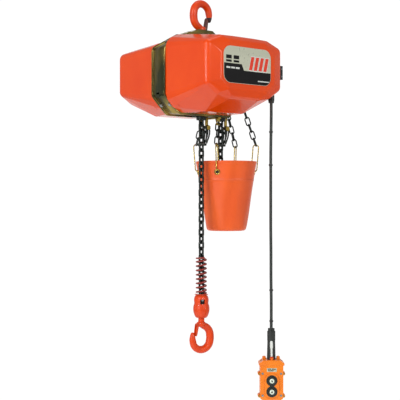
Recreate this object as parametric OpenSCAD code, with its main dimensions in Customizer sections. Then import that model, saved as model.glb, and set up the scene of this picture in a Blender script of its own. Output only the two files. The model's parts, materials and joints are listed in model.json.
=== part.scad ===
// Electric chain hoist: drive unit with a top hook, load chain with hook block,
// slack chain bucket and a hanging push-button pendant.
// The origin is the saddle of the top hook, the load hangs down -Z, X runs along the drive.

/* [Drive unit] */
// Width of the centre frame band along the drive
band_w = 60; // [50:1:70]
// Half length of the drive unit from the frame centre to an end face
unit_half = 215; // [205:1:230]
// How far the drive unit's middle plane sits in front of the load line
unit_shift = 12; // [10:1:14]
// Wall of the two end covers
cover_wall = 3; // [2.5:0.1:4]
// Rounding radius of the cover edges
cover_round = 14; // [10:1:16]
// Depth of the frame band's recessed web below its rims
web_depth = 4; // [3:0.5:5]

/* [Chain] */
// Chain pitch
pitch = 19.1; // [19:0.1:19.2]
// Chain wire radius
wire_r = 3.1; // [3:0.05:3.12]
// Height of the load pin below the top hook's saddle
load_pin_drop = 849.3; // [840:0.1:860]

/* [Hooks] */
// Inside radius of the hook bowls
bowl_r = 18; // [17:0.5:19]
// Radius of the hook section
hook_r = 11; // [10:0.5:11]
// Distance between the two hook saddles
headroom = 983; // [975:1:990]
// Angle of the bottom hook about the load line
hook_yaw = -10; // [-30:1:30]
// Angle of the hook block about the load line
block_yaw = -30; // [-60:1:60]

/* [Gears] */
// Teeth of the motor pinion
teeth_a = 14; // [14:1:14]
// Teeth of the intermediate gear
teeth_b = 70; // [70:1:70]
// Teeth of the intermediate pinion
teeth_c = 13; // [13:1:13]
// Teeth of the output gear
teeth_d = 52; // [52:1:52]

/* [Chain bucket] */
// Outside radius of the bucket's rim
rim_r = 91; // [88:1:94]
// Outside radius of the bucket's bottom
base_r = 59; // [54:1:64]
// Height of the bucket
bucket_h = 207; // [195:1:215]
// Wall of the bucket
bucket_wall = 2.5; // [2:0.1:3]

/* [Pendant] */
// Width of the pendant case
case_w = 65; // [60:1:68]
// Depth of the pendant case
case_d = 46; // [42:1:50]
// Direction that the pendant faces, about Z
pendant_yaw = 50; // [0:1:90]

/* [Hidden] */
$fn = 48;

orange = [0.84, 0.30, 0.06];
zinc = [0.62, 0.56, 0.30];
steel = [0.62, 0.63, 0.65];
black = [0.08, 0.08, 0.09];

half_w = band_w / 2;
top_z = -80;
floor_z = -318;

// Centre section as [across, height] from the unit's middle plane, anticlockwise
section = [[57, top_z], [-57, top_z], [-148, -129], [-148, -267], [-95, floor_z],
    [95, floor_z], [148, -267], [148, -129]];
section_round = 20;
lower_chamfer = [(section[5] + section[6]) / 2, 43.9];
upper_chamfer = [(section[7] + section[0]) / 2, 61.7];

// Chain places: link 0 hangs on the load pin, link 33 is the last below the sheave
link_mid_r = 3.75 + 3.15;
link_half = pitch / 2 - 3.75;
link_zero_z = -load_pin_drop + link_half;
joint_r = pitch / 2 / sin(15);
sheave_z = link_zero_z + 33.5 * pitch;
sheave_y = joint_r;
slack_y = 2 * joint_r;
tail_links = 9;
guide_links = 27;
chain_clear_r = 11.5;

// Shaft places as [y, z]
module_ab = 1.25;
module_cd = 2;
centres_ab = module_ab * (teeth_a + teeth_b) / 2;
centres_cd = module_cd * (teeth_c + teeth_d) / 2;
motor_offset = 89;
mid_along = (motor_offset ^ 2 + centres_ab ^ 2 - centres_cd ^ 2) / (2 * motor_offset);
mid_rise = sqrt(centres_ab ^ 2 - mid_along ^ 2);
sheave_axis = [sheave_y, sheave_z];
motor_axis = [sheave_y - motor_offset, sheave_z];
mid_axis = motor_axis + [mid_along, mid_rise];
motor_shaft_r = 7;
mid_shaft_r = 7;
sheave_shaft_r = 12;
running = 0.05;
bearing_wall = 8;
plate_t = 6;
cap_x = 66;

bucket_at = [-17, 112, -651];
bail_wire_r = 1.7;
bail_mid_r = 8.5;
bail_long = 84;
bail_lean = 4.5;
grommet_z = -477;
sling_wire_r = 1.95;
lug_hole_r = 4.5;
// Each sling as the direction of its grommet, then the place and height of its lug's hole
slings = [[46, -78, 38, -66, -332], [-46, -78, -38, -66, -332], [46, 78, 38, 38, -290],
    [-46, 78, -38, 38, -290]];
lever_pivot = [20, -348];

pendant_at = [180, 108, 0];
case_top = -1011;
case_base = -1123;
button_z = [-1067.6, -1098.5];
cord_r = 4.25;
wire_rope_r = 2.2;
cord_route = [[180, 108, -272], [180, 108, -290], [180, 108, -320], [179, 108, -370],
    [178, 108, -430], [178, 108, -500], [178, 108, -570], [178, 108, -640], [179, 108, -710],
    [179, 108, -780], [180, 108, -840], [180, 108, -890], [180, 108, -930], [180, 108, -958]];
wire_route = [[191, 100, -276], [191, 100, -288], [189, 101.5, -302], [186, 103, -320],
    [184.6, 103.4, -340], [184.2, 103.6, -370], [183.2, 103.6, -430], [183.2, 103.6, -500],
    [183.2, 103.6, -570], [183.2, 103.6, -640], [184.2, 103.6, -710], [184.2, 103.6, -780],
    [185.2, 103.6, -840], [185.2, 103.6, -890], [185.2, 103.6, -930], [185.2, 103.6, -954],
    [187.4, 101.8, -968], [190.6, 99, -986], [191.4, 98.4, -1004]];
wire_hole = [[185.2, 103.6], [185.2, 103.6, -955], [191.4, 98, -990]];
// Ties as [x, height]
ties = [[180.5, -368], [179.7, -462], [180.6, -817], [181.8, -905]];

function unit(v) = v / norm(v);
function inward(a, b) = unit([a[1] - b[1], b[0] - a[0]]);
function before(p, i) = p[(i + len(p) - 1) % len(p)];
function after(p, i) = p[(i + 1) % len(p)];
// Moves every side of an anticlockwise outline inwards by d
function inset(p, d) = [for (i = [0:len(p) - 1])
    let (m = inward(before(p, i), p[i]), n = inward(p[i], after(p, i)))
    p[i] + (m + n) / (1 + m * n) * d];
// Rounds every corner of an anticlockwise outline to radius r
function rounded(p, r, steps = 6) = [for (i = [0:len(p) - 1])
    let (m = inward(before(p, i), p[i]), n = inward(p[i], after(p, i)),
        middle = p[i] + (m + n) / (1 + m * n) * r, start = atan2(-m[1], -m[0]),
        turn = atan2(m[0] * n[1] - m[1] * n[0], m * n))
    for (k = [0:steps]) middle + r * [cos(start + turn * k / steps), sin(start + turn * k / steps)]];
function block(x0, x1, y0, y1) = [[x0, y0], [x1, y0], [x1, y1], [x0, y1]];

// Draws an outline of [y, z] and runs it along X
module along_x(x, length) {
    translate([x, 0, 0]) rotate([90, 0, 90]) linear_extrude(length) children();
}

module in_unit() {
    translate([0, -unit_shift, 0]) children();
}

// Points local Z along the direction v
module aim(v) {
    rotate([0, acos(v[2] / norm(v)), atan2(v[1], v[0])]) children();
}

module rod(a, b, r1, r2) {
    translate(a) aim(b - a) cylinder(h = norm(b - a), r1 = r1, r2 = r2);
}

// A round disc or shaft on the axis [y, z]
module disc(axis, x, length, r) {
    translate([x, axis[0], axis[1]]) rotate([0, 90, 0]) cylinder(h = length, r = r);
}

// A bar of round section bent about X, from one angle to another
module bent_bar(y, z, bend, r, from, to) {
    translate([0, y, z]) rotate([90, 0, 90]) rotate([0, 0, from])
        rotate_extrude(angle = to - from, $fn = 72) translate([bend, 0]) circle(r);
}

// One chain link standing along Z, wide along X
module link(half, mid, r) {
    for (side = [0, 180]) {
        rotate([0, side, 0]) {
            translate([0, 0, half]) rotate([90, 0, 0])
                rotate_extrude(angle = 180, $fn = 40) translate([mid, 0]) circle(r, $fn = 20);
            translate([mid, 0, -half]) cylinder(h = 2 * half, r = r, $fn = 20);
        }
    }
}

module load_link(i) {
    rotate([0, 0, i % 2 == 0 ? 90 : 0]) link(link_half, link_mid_r, wire_r);
}

// Links numbered from the load pin upwards along the load side
module load_run(first, last) {
    for (i = [first:last])
        translate([0, 0, link_zero_z + i * pitch]) load_link(i);
}

// Links of the slack side, numbered downwards from the sheave
module slack_run(first, last) {
    for (i = [first:last])
        translate([0, slack_y, sheave_z - (i + 0.5) * pitch]) load_link(i);
}

// A tube of a given radius swept along points, with flat ends
module tube(points, r, sides, aside) {
    last = len(points) - 1;
    run = [for (i = [0:last]) unit(points[min(i + 1, last)] - points[max(i - 1, 0)])];
    rings = [for (i = [0:last]) let (u = unit(cross(run[i], aside)), v = cross(run[i], u))
        for (k = [0:sides - 1]) points[i] + r * (u * cos(360 * k / sides) + v * sin(360 * k / sides))];
    walls = [for (i = [0:last - 1]) for (k = [0:sides - 1])
        let (a = i * sides + k, b = i * sides + (k + 1) % sides)
        each [[a, b, b + sides], [a, b + sides, a + sides]]];
    near = [for (k = [sides - 1:-1:0]) k];
    far = [for (k = [0:sides - 1]) last * sides + k];
    polyhedron(rings, concat([near], walls, [far]), convexity = 10);
}

// Points of a smooth curve through the route, two for each stretch
function smooth(p) = [for (i = [0:len(p) - 2]) for (t = [0, 0.5])
    let (a = p[max(i - 1, 0)], b = p[i], c = p[i + 1], d = p[min(i + 2, len(p) - 1)])
    0.5 * (2 * b + (c - a) * t + (2 * a - 5 * b + 4 * c - d) * t * t
        + (3 * b - a - 3 * c + d) * t * t * t)];
function whole(p) = concat(smooth(p), [p[len(p) - 1]]);

function involute(a) = tan(a) - a * PI / 180;
// Half the angle of a tooth at radius q, in degrees
function tooth_half(q, pitch_r, teeth, backlash) = 90 / teeth - backlash / pitch_r * 90 / PI
    + (involute(20) - involute(acos(min(1, pitch_r * cos(20) / q)))) * 180 / PI;
// Outline of a spur gear with a tooth centred on the angle at
function gear_outline(size, teeth, at, tip = 0.8) =
    let (pitch_r = size * teeth / 2, root = pitch_r - 1.25 * size, base = pitch_r * cos(20),
        outer = pitch_r + tip * size, start = max(root, base),
        radii = [for (k = [0:4]) start + (outer - start) * k / 4])
    [for (i = [0:teeth - 1]) let (c = at + 360 * i / teeth)
        each concat(
            [root * [cos(c - tooth_half(start, pitch_r, teeth, 0.12)),
                sin(c - tooth_half(start, pitch_r, teeth, 0.12))]],
            [for (q = radii) q * [cos(c - tooth_half(q, pitch_r, teeth, 0.12)),
                sin(c - tooth_half(q, pitch_r, teeth, 0.12))]],
            [for (k = [4:-1:0]) let (q = radii[k])
                q * [cos(c + tooth_half(q, pitch_r, teeth, 0.12)),
                    sin(c + tooth_half(q, pitch_r, teeth, 0.12))]],
            [root * [cos(c + tooth_half(start, pitch_r, teeth, 0.12)),
                sin(c + tooth_half(start, pitch_r, teeth, 0.12))]])];

module gear(axis, x, width, outline) {
    translate([0, axis[0], axis[1]]) along_x(x, width) polygon(outline);
}

function bearing_to(a, b) = atan2(b[1] - a[1], b[0] - a[0]);

// ---- Frame ----

// Places a child on a chamfer, with local Z outwards and its origin on the web
module on_chamfer(chamfer, side) {
    translate([0, side * chamfer[0][0], chamfer[0][1]])
        rotate([-side * (chamfer == lower_chamfer ? 180 - chamfer[1] : chamfer[1] - 33.4), 0, 0])
            translate([0, 0, -web_depth]) children();
}

module chamfer_bolts(shank, head, head_h) {
    in_unit() for (chamfer = [lower_chamfer, upper_chamfer]) for (side = [-1, 1]) for (x = [-19, 19])
        on_chamfer(chamfer, side) translate([x, 0, 0]) {
            translate([0, 0, -4.5]) cylinder(h = 4.5, r = shank);
            if (head_h > 0)
                cylinder(h = head_h, r = head, $fn = 6);
        }
}

module frame_band() {
    color(zinc) difference() {
        in_unit() difference() {
            union() {
                along_x(-half_w, band_w) polygon(rounded(inset(section, web_depth), section_round - 4));
                for (x = [-half_w, half_w - 3.5])
                    along_x(x, 3.5) polygon(rounded(section, section_round));
            }
            along_x(-half_w - 1, band_w + 2) polygon(rounded(inset(section, 8), section_round - 8));
            translate([-11, -160, -262]) cube([22, 30, 5]);
        }
        translate([0, 0, -100]) cylinder(h = 40, r = 21);
        translate([-20.3, -20.3, floor_z - 1]) cube([40.6, 112.6, 26]);
        chamfer_bolts(3.05, 0, 0);
    }
}

module hook_yoke() {
    color(zinc) difference() {
        in_unit() along_x(-half_w + 3.6, band_w - 7.2)
            polygon([[-49, top_z - web_depth], [49, top_z - web_depth], [49, top_z], [33, -69],
                [-19, -69], [-49, top_z]]);
        translate([0, 0, -100]) cylinder(h = 40, r = 9.05);
    }
}

module bulkhead(x) {
    in_unit() along_x(x, plate_t) polygon(rounded(inset(section, 8.1), section_round - 8));
}

module motor_plate() {
    color(steel) difference() {
        bulkhead(-half_w);
        disc(motor_axis, -half_w - 1, plate_t + 2, motor_shaft_r + bearing_wall + running);
        disc(sheave_axis, -half_w - 1, plate_t + 2, sheave_shaft_r + bearing_wall + running);
    }
}

module gear_plate() {
    color(steel) difference() {
        bulkhead(half_w - plate_t);
        disc(motor_axis, half_w - plate_t - 1, plate_t + 2, motor_shaft_r + 4);
        disc(mid_axis, half_w - plate_t - 1, plate_t + 2, mid_shaft_r + bearing_wall + running);
        disc(sheave_axis, half_w - plate_t - 1, plate_t + 2, sheave_shaft_r + bearing_wall + running);
    }
}

module gearbox_end_plate() {
    color(steel) difference() {
        union() {
            along_x(cap_x, plate_t) polygon(rounded(block(-80, 100, -270, -124), 12));
            for (y = [-71, 91]) for (z = [-261, -133])
                disc([y, z], half_w, cap_x - half_w + 1, 5);
        }
        disc(motor_axis, cap_x - 1, plate_t + 2, motor_shaft_r + bearing_wall + running);
        disc(mid_axis, cap_x - 1, plate_t + 2, mid_shaft_r + bearing_wall + running);
        disc(sheave_axis, cap_x - 1, plate_t + 2, sheave_shaft_r + bearing_wall + running);
    }
}

// ---- Covers ----

cover_section = [[50, -86], [-50, -86], [-100, -93], [-124, -103], [-139, -118], [-143, -132],
    [-143, -262], [-137, -279], [-117, -298.5], [-84, -312.5], [84, -312.5], [117, -298.5],
    [137, -279], [143, -262], [143, -132], [139, -118], [124, -103], [100, -93]];
// Far corners of a cover as [along, across, height]
cover_corners = [[207, 135.5, -133], [207, 135.5, -250], [207, 98, -119], [207, 50, -118],
    [207, 104, -270], [207, 66, -278], [unit_half, 110, -153], [unit_half, 110, -241],
    [unit_half, 78, -119], [unit_half, 84, -266], [130, 78, -306.5]];

module cover_body(gap) {
    round_r = cover_round - gap;
    hull() {
        along_x(half_w, 0.5) polygon(rounded(inset(cover_section, gap), 17 - gap));
        for (c = cover_corners) for (side = [-1, 1])
            translate([c[0] - cover_round, side * (c[1] - cover_round * 0.75), c[2]
                + (c[2] > -200 ? -0.6 : 0.6) * cover_round])
                sphere(round_r, $fn = 32);
    }
}

module cover() {
    difference() {
        in_unit() cover_body(0);
        intersection() {
            in_unit() cover_body(cover_wall);
            translate([half_w + cover_wall, -200, -400]) cube([300, 400, 400]);
        }
        translate([half_w - 1, -200, -400]) cube([1.05, 400, 400]);
        // The mouth keeps a flange that meets the rim of the band
        in_unit() along_x(half_w - 1, cover_wall + 2)
            polygon(rounded(inset(section, 10), section_round - 10));
    }
}

module motor_cover() {
    color(orange) mirror([1, 0, 0]) cover();
}

module gear_cover() {
    color(orange) difference() {
        cover();
        translate([pendant_at[0], pendant_at[1], -300]) cylinder(h = 80, r = 9.3);
        translate([wire_route[0][0], wire_route[0][1], -300]) cylinder(h = 80, r = 4.3);
        translate([161.9, 100, -217.1]) cube([34.2, 60, 39.2]);
    }
}

module frame_bolts() {
    color(steel) chamfer_bolts(3, 6, 3.6);
}

module label_plate() {
    color([0.78, 0.78, 0.80]) in_unit()
        along_x(unit_half, 1.2) polygon(rounded(block(-91, 83, -243, -143), 24));
}

// ---- Hooks ----

// A hook with its saddle at the origin and its shank down -Z, opening towards +Y
module hook_forging(shank_end) {
    mid = bowl_r + hook_r;
    difference() {
        union() {
            bent_bar(0, -bowl_r, mid, hook_r, 0, 180);
            translate([0, -mid, -bowl_r - 12]) cylinder(h = 12, r = hook_r);
            bent_bar(0, -bowl_r - 12, mid, hook_r, 180, 250);
            translate([0, mid, -bowl_r]) rotate_extrude()
                polygon([[0, 0], [hook_r, 0], [9.6, -7], [7.6, -15], [5.6, -19.5], [3, -21.6], [0, -21.6]]);
            translate([0, 0, -68.6]) cylinder(h = 11.2, r = 12.8);
            translate([0, 0, shank_end]) cylinder(h = -shank_end - 60, r = 9);
            translate([-3.5, 6, -68.4]) cube([7, 10, 11]);
        }
        translate([-13, 12.5, -62]) rotate([0, 90, 0]) cylinder(h = 26, r = 2.05);
        for (side = [0, 1])
            translate([side == 0 ? -20 : 3.6, 8.2, -69]) cube([16.4, 10, 12.5]);
    }
}

// The latch swings on the neck pin and rests against the inside of the tip
module hook_latch() {
    reach = [0, 6.2, 32];
    difference() {
        union() {
            for (x = [-6.8, 3.8])
                translate([x, 12.5, -62]) rotate([0, 90, 0]) cylinder(h = 3, r = 4);
            for (x = [-5.3, 5.3])
                rod([x, 12.5, -62], [x, 12.5, -62] + reach, 1.5, 1.5);
            translate([-6.8, 12.5, -62]) rotate([-atan2(reach[1], reach[2]), 0, 0])
                translate([0, -1.5, 6]) cube([13.6, 2.4, norm(reach) - 5]);
        }
        translate([-10, 12.5, -62]) rotate([0, 90, 0]) cylinder(h = 20, r = 2.1);
    }
}

module latch_pin() {
    translate([-8, 12.5, -62]) rotate([0, 90, 0]) cylinder(h = 16, r = 2);
}

module at_bottom_hook() {
    rotate([0, 0, hook_yaw]) translate([0, 0, -headroom]) rotate([180, 0, 0]) children();
}

module top_hook() {
    color(orange) hook_forging(-100);
}

module top_hook_nut() {
    color(steel) difference() {
        translate([0, 0, -98]) cylinder(h = 13.6, r = 17, $fn = 6);
        translate([0, 0, -102]) cylinder(h = 20, r = 9.02);
    }
}

module top_latch() {
    color([0.20, 0.10, 0.10]) hook_latch();
}

module top_latch_pin() {
    color(steel) latch_pin();
}

module bottom_hook() {
    color(orange) at_bottom_hook() hook_forging(-104);
}

module bottom_latch() {
    color(orange) at_bottom_hook() hook_latch();
}

module bottom_latch_pin() {
    color(steel) at_bottom_hook() latch_pin();
}

// ---- Motor and brake ----

module motor_stator() {
    color([0.45, 0.45, 0.47]) difference() {
        disc(motor_axis, -125, 95, 60);
        disc(motor_axis, -126, 97, 35);
        for (k = [0:11])
            disc(motor_axis + 38 * [cos(30 * k), sin(30 * k)], -126, 97, 5);
    }
}

module motor_rotor() {
    color(steel) {
        disc(motor_axis, -120, 84, 34.5);
        disc(motor_axis, -188, 188 + cap_x + plate_t - 0.5, motor_shaft_r);
        gear(motor_axis, 50, 14, gear_outline(module_ab, teeth_a, bearing_to(motor_axis, mid_axis)));
    }
}

module cooling_fan() {
    color(black) difference() {
        union() {
            disc(motor_axis, -186, 14, 13);
            disc(motor_axis, -175, 2, 50);
            for (k = [0:7])
                translate([-186, motor_axis[0], motor_axis[1]]) rotate([45 * k, 0, 0])
                    translate([0, -1, 11]) cube([12, 2, 38]);
        }
        disc(motor_axis, -190, 20, motor_shaft_r);
    }
}

module bearing(axis, x, r) {
    difference() {
        disc(axis, x, plate_t, r + bearing_wall);
        disc(axis, x - 1, plate_t + 2, r + running);
    }
}

module shaft_bearings() {
    color(steel) {
        bearing(motor_axis, -half_w, motor_shaft_r);
        bearing(sheave_axis, -half_w, sheave_shaft_r);
        bearing(mid_axis, half_w - plate_t, mid_shaft_r);
        bearing(sheave_axis, half_w - plate_t, sheave_shaft_r);
        bearing(motor_axis, cap_x, motor_shaft_r);
        bearing(mid_axis, cap_x, mid_shaft_r);
        bearing(sheave_axis, cap_x, sheave_shaft_r);
    }
}

module brake_coil() {
    color([0.60, 0.32, 0.15]) difference() {
        disc(motor_axis, -168, 22, 42);
        disc(motor_axis, -169, 24, 12);
        disc(motor_axis, -150, 6, 36);
    }
}

module brake_armature() {
    color(steel) difference() {
        disc(motor_axis, -145.2, 5, 41);
        disc(motor_axis, -146, 8, 12);
    }
}

module brake_disc() {
    color([0.30, 0.28, 0.26]) difference() {
        disc(motor_axis, -139.8, 6, 43);
        disc(motor_axis, -141, 9, motor_shaft_r);
    }
}

// ---- Gears and sheave ----

module intermediate_gear() {
    color(steel) difference() {
        gear(mid_axis, 52, 10, gear_outline(module_ab, teeth_b,
            bearing_to(mid_axis, motor_axis) + 180 / teeth_b));
        disc(mid_axis, 51, 12, mid_shaft_r);
        for (k = [0:4])
            disc(mid_axis + 25 * [cos(72 * k), sin(72 * k)], 51, 12, 8);
    }
}

module intermediate_pinion() {
    color(steel) {
        disc(mid_axis, half_w - plate_t, cap_x + plate_t - half_w + plate_t - 0.5, mid_shaft_r);
        gear(mid_axis, 33, 16, gear_outline(module_cd, teeth_c, bearing_to(mid_axis, sheave_axis)));
    }
}

module output_gear() {
    color(steel) difference() {
        gear(sheave_axis, 34, 14, gear_outline(module_cd, teeth_d,
            bearing_to(sheave_axis, mid_axis) + 180 / teeth_d));
        disc(sheave_axis, 33, 16, sheave_shaft_r);
        for (k = [0:5])
            disc(sheave_axis + 30 * [cos(60 * k), sin(60 * k)], 33, 16, 9);
    }
}

// The wheel's cheeks carry six pockets each side of the chain
module load_sheave() {
    color(steel) {
        disc(sheave_axis, -half_w - 2, cap_x + plate_t + half_w + 1.5, sheave_shaft_r);
        disc(sheave_axis, -14, 28, 25.5);
        for (x = [-14.5, 10.6])
            difference() {
                disc(sheave_axis, x, 3.9, 45);
                for (k = [0:5])
                    disc(sheave_axis + 49 * [cos(60 * k), sin(60 * k)], x - 1, 6, 11);
            }
    }
}

module sheave_chain() {
    color(black) {
        load_run(guide_links, 33);
        for (k = [0:5])
            translate([0, sheave_y, sheave_z]) rotate([-30 * k - 15, 0, 0])
                translate([0, -joint_r * cos(15), 0]) load_link(k);
        slack_run(0, 6);
    }
}

module chain_guide() {
    color(black) difference() {
        union() {
            translate([-20, -20, floor_z]) cube([40, 112, 22]);
            for (y = [0, slack_y])
                translate([0, y, floor_z - 9]) cylinder(h = 12, r1 = 14, r2 = 16);
        }
        for (y = [0, slack_y])
            translate([0, y, -346]) cylinder(h = 60, r = chain_clear_r);
    }
}

module chain_stripper() {
    color(steel) along_x(-3, 6) polygon([[14, -296], [60, -296], [50, -234], [24, -234]]);
}

// A forked black sleeve round the chain that swings on its hanger's pin
module limit_lever() {
    difference() {
        union() {
            translate([0, 0, -401]) cylinder(h = 50, r1 = 16, r2 = 18);
            along_x(-5.5, 11) polygon([[10, -401], [17, -401], [27, -374], [27, -350], [22, -343],
                [16, -343], [10, -352]]);
        }
        translate([0, 0, -410]) cylinder(h = 80, r = 13.6);
        translate([-30, -30, -388]) cube([60, 27, 60]);
        translate([-2.8, 11, -362]) cube([5.6, 30, 40]);
        along_x(-10, 20) polygon([[17.5, -386], [23, -371], [17.5, -368]]);
        disc(lever_pivot, -10, 20, 2.6);
        disc(lever_pivot, 5.6, 6, 8.3);
    }
}

module upper_limit_lever() {
    color(black) limit_lever();
}

module lower_limit_lever() {
    color(black) translate([0, slack_y, 0]) limit_lever();
}

// ---- Electrical ----

module contactor() {
    color([0.25, 0.26, 0.28]) {
        translate([cap_x + plate_t, -78, -240]) cube([46, 52, 74]);
        translate([cap_x + plate_t + 46, -70, -228]) cube([12, 36, 50]);
    }
}

module transformer() {
    color([0.42, 0.20, 0.12]) {
        translate([cap_x + plate_t, 12, -236]) cube([44, 62, 52]);
        translate([cap_x + plate_t + 4, 24, -246]) cube([36, 38, 72]);
    }
}

module power_inlet() {
    color(black) difference() {
        translate([162, 118, -217]) cube([34, 20, 39]);
        translate([179, 139, -197.5]) rotate([90, 0, 0]) cylinder(h = 12, r = 6);
    }
}

// Screws of the power inlet and of the pendant case
module case_screws() {
    color(steel) {
        for (z = [-208, -187])
            translate([196, 133.5, z]) rotate([0, 90, 0]) cylinder(h = 1.4, r = 2.4);
        in_pendant() for (x = [-26, 26]) for (z = [-1048, -1110])
            translate([x, -case_d / 2 - 0.05, z]) rotate([90, 0, 0]) cylinder(h = 1.4, r = 3.2);
    }
}

// ---- Hanging chain and hook block ----

module load_chain() {
    color(black) load_run(tail_links, guide_links - 1);
}

module load_chain_end() {
    color(black) load_run(0, tail_links - 1);
}

module slack_chain() {
    color(black) slack_run(7, 19);
}

// The heap of spare chain at the bottom of the bucket
module stored_chain() {
    color(black) translate([bucket_at[0], bucket_at[1], 0]) rotate_extrude()
        polygon([[0, -648], [46, -648], [50, -636], [44, -615], [30, -606], [0, -603]]);
}

module buffer_spring() {
    turns = 7.4;
    coil_r = 14.4;
    helix = [for (i = [0:turns * 14]) [coil_r * cos(360 * i / 14), coil_r * sin(360 * i / 14),
        -832.2 + 108 * i / (turns * 14)]];
    color([0.72, 0.10, 0.08]) tube(helix, 2, 8, [0, 0, 1]);
}

module block_body() {
    difference() {
        rotate_extrude($fn = 72) polygon([[0, -834.4], [18, -834.4], [20.5, -840], [23.7, -866],
            [23.7, -880], [21, -892], [17, -901], [0, -901]]);
        translate([0, 0, -861]) cylinder(h = 40, r = 11);
        translate([0, 0, -893]) cylinder(h = 27, r = 15);
        translate([0, 0, -905]) cylinder(h = 20, r = 9.3);
        in_block() {
            translate([-30, 0, -849.3]) rotate([0, 90, 0]) cylinder(h = 60, r = 3.05);
            for (z = [-842.5, -884])
                translate([-30, z > -860 ? 15.5 : 18.2, z]) rotate([0, 90, 0])
                    cylinder(h = 60, r = 1.55);
            translate([8, -7.5, -864.5]) cube([40, 15, 12]);
        }
    }
}

module in_block() {
    rotate([0, 0, block_yaw]) children();
}

module block_half_left() {
    color(orange) intersection() {
        block_body();
        in_block() translate([-40, -40, -905]) cube([39.95, 80, 80]);
    }
}

module block_half_right() {
    color(orange) intersection() {
        block_body();
        in_block() translate([0.05, -40, -905]) cube([40, 80, 80]);
    }
}

module block_bolts() {
    color(steel) in_block() for (z = [-842.5, -884])
        translate([-13, z > -860 ? 15.5 : 18.2, z]) rotate([0, 90, 0]) cylinder(h = 26, r = 1.5);
}

module chain_pin() {
    color(steel) in_block() translate([-19.5, 0, -849.3]) rotate([0, 90, 0])
        cylinder(h = 39, r = 3);
}

module hook_bearing() {
    color(steel) difference() {
        translate([0, 0, -892.6]) cylinder(h = 8, r = 14.8);
        translate([0, 0, -895]) cylinder(h = 12, r = 9.05);
    }
}

// ---- Chain bucket ----

function wall_r(z) = base_r + (rim_r - base_r) * (z - bucket_at[2]) / bucket_h;

module chain_bucket() {
    top = bucket_at[2] + bucket_h;
    color(orange) translate([bucket_at[0], bucket_at[1], 0]) difference() {
        rotate_extrude($fn = 72) polygon([[0, -651], [base_r, -651], [rim_r - 0.5, top - 5],
            [rim_r + 1, top - 5], [rim_r + 1, top], [rim_r - bucket_wall, top],
            [base_r - bucket_wall, -651 + bucket_wall], [0, -651 + bucket_wall]]);
        for (b = slings)
            rotate([0, 0, atan2(b[1], b[0])]) translate([60, 0, grommet_z]) rotate([0, 90, 0])
                cylinder(h = 40, r = 5);
    }
}

// Centre of a bail's lower and upper wire, from the bucket's axis
function bail_base(b) = let (out = unit([b[0], b[1]]), r = wall_r(grommet_z) - bucket_wall / 2)
    [out[0] * r, out[1] * r, grommet_z + 3];
function bail_rise(b) = let (out = unit([b[0], b[1]]))
    [out[0] * sin(bail_lean), out[1] * sin(bail_lean), cos(bail_lean)];
bail_span = bail_long - 2 * bail_wire_r;
function bail_top(b) = bail_base(b) + bail_rise(b) * bail_span;

// Turns local Z to direction d and local X as near to a level direction as it can be
module stand_along(d, wide) {
    z = unit(d);
    y = unit(cross(z, wide));
    x = cross(y, z);
    multmatrix([[x[0], y[0], z[0], 0], [x[1], y[1], z[1], 0], [x[2], y[2], z[2], 0], [0, 0, 0, 1]])
        children();
}

module bucket_bails() {
    color([0.70, 0.55, 0.20]) translate([bucket_at[0], bucket_at[1], 0]) for (b = slings)
        translate(bail_base(b) + bail_rise(b) * bail_span / 2)
            stand_along(bail_rise(b), [b[0], b[1], 0])
                link(bail_span / 2 - bail_mid_r, bail_mid_r, bail_wire_r);
}

module bucket_chains() {
    color(black) translate([bucket_at[0], bucket_at[1], 0]) for (b = slings) {
        low = bail_top(b) - bail_rise(b) * bail_wire_r;
        high = [b[2], b[3], b[4] - lug_hole_r + 0.9];
        count = norm(high - low) > 80 ? 5 : 3;
        long = norm(high - low) / count;
        for (i = [0:count - 1])
            translate(low + (high - low) * (i + 0.5) / count)
                stand_along(high - low, i % 2 == 0 ? [b[1], -b[0], 0] : [b[0], b[1], 0])
                    link(long / 2 - 4.5, 6.5, sling_wire_r);
    }
}

// A thin lug below a bracket, with a hole for the top link of a sling
module hanger_lug(b, top) {
    x = bucket_at[0] + b[2];
    y = bucket_at[1] + b[3];
    difference() {
        translate([x - 1.5, y - 6, b[4] - 9]) cube([3, 12, top - b[4] + 9]);
        translate([x - 5, y, b[4]]) rotate([0, 90, 0]) cylinder(h = 10, r = lug_hole_r);
    }
}

module lever_hanger(y) {
    translate([0, y, 0]) {
        difference() {
            translate([-2.5, lever_pivot[0] - 4, lever_pivot[1] - 4]) cube([5, 8, floor_z - lever_pivot[1] + 4]);
            disc(lever_pivot, -3, 6, 2.4);
        }
        disc(lever_pivot, -9, 19, 2.5);
        translate([5.9, lever_pivot[0], lever_pivot[1]]) rotate([0, 90, 0])
            cylinder(h = 4.5, r = 7.5, $fn = 6);
    }
}

function web_z(y) = -312.45 + (y + unit_shift - 95) * 51 / 53;

// Straps that carry the chain bucket, and the hangers of the limit levers
module support_brackets() {
    front_y = bucket_at[1] + slings[0][3];
    back_y = bucket_at[1] + slings[2][3];
    bar_z = -281;
    color([0.70, 0.55, 0.20]) {
        union() {
            translate([-60, front_y - 6, floor_z - 3.8]) cube([88, 12, 3.8]);
            for (b = [slings[0], slings[1]])
                hanger_lug(b, -320);
        }
        union() {
            translate([-60, back_y - 6, bar_z]) cube([88, 12, 4]);
            along_x(-12, 24) polygon([[100, web_z(100) - 0.05], [103, web_z(100) - 3], [120, bar_z],
                [back_y, bar_z], [back_y, bar_z + 4], [122, bar_z + 4], [119.5, web_z(119.5) - 0.05]]);
            for (b = [slings[2], slings[3]])
                hanger_lug(b, bar_z + 1);
        }
        lever_hanger(0);
        lever_hanger(slack_y);
    }
}

// ---- Pendant ----

module in_pendant() {
    translate(pendant_at) rotate([0, 0, pendant_yaw]) children();
}

module pendant_cord() {
    color(black) tube(whole(cord_route), cord_r, 10, [1, 0, 0]);
}

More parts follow.
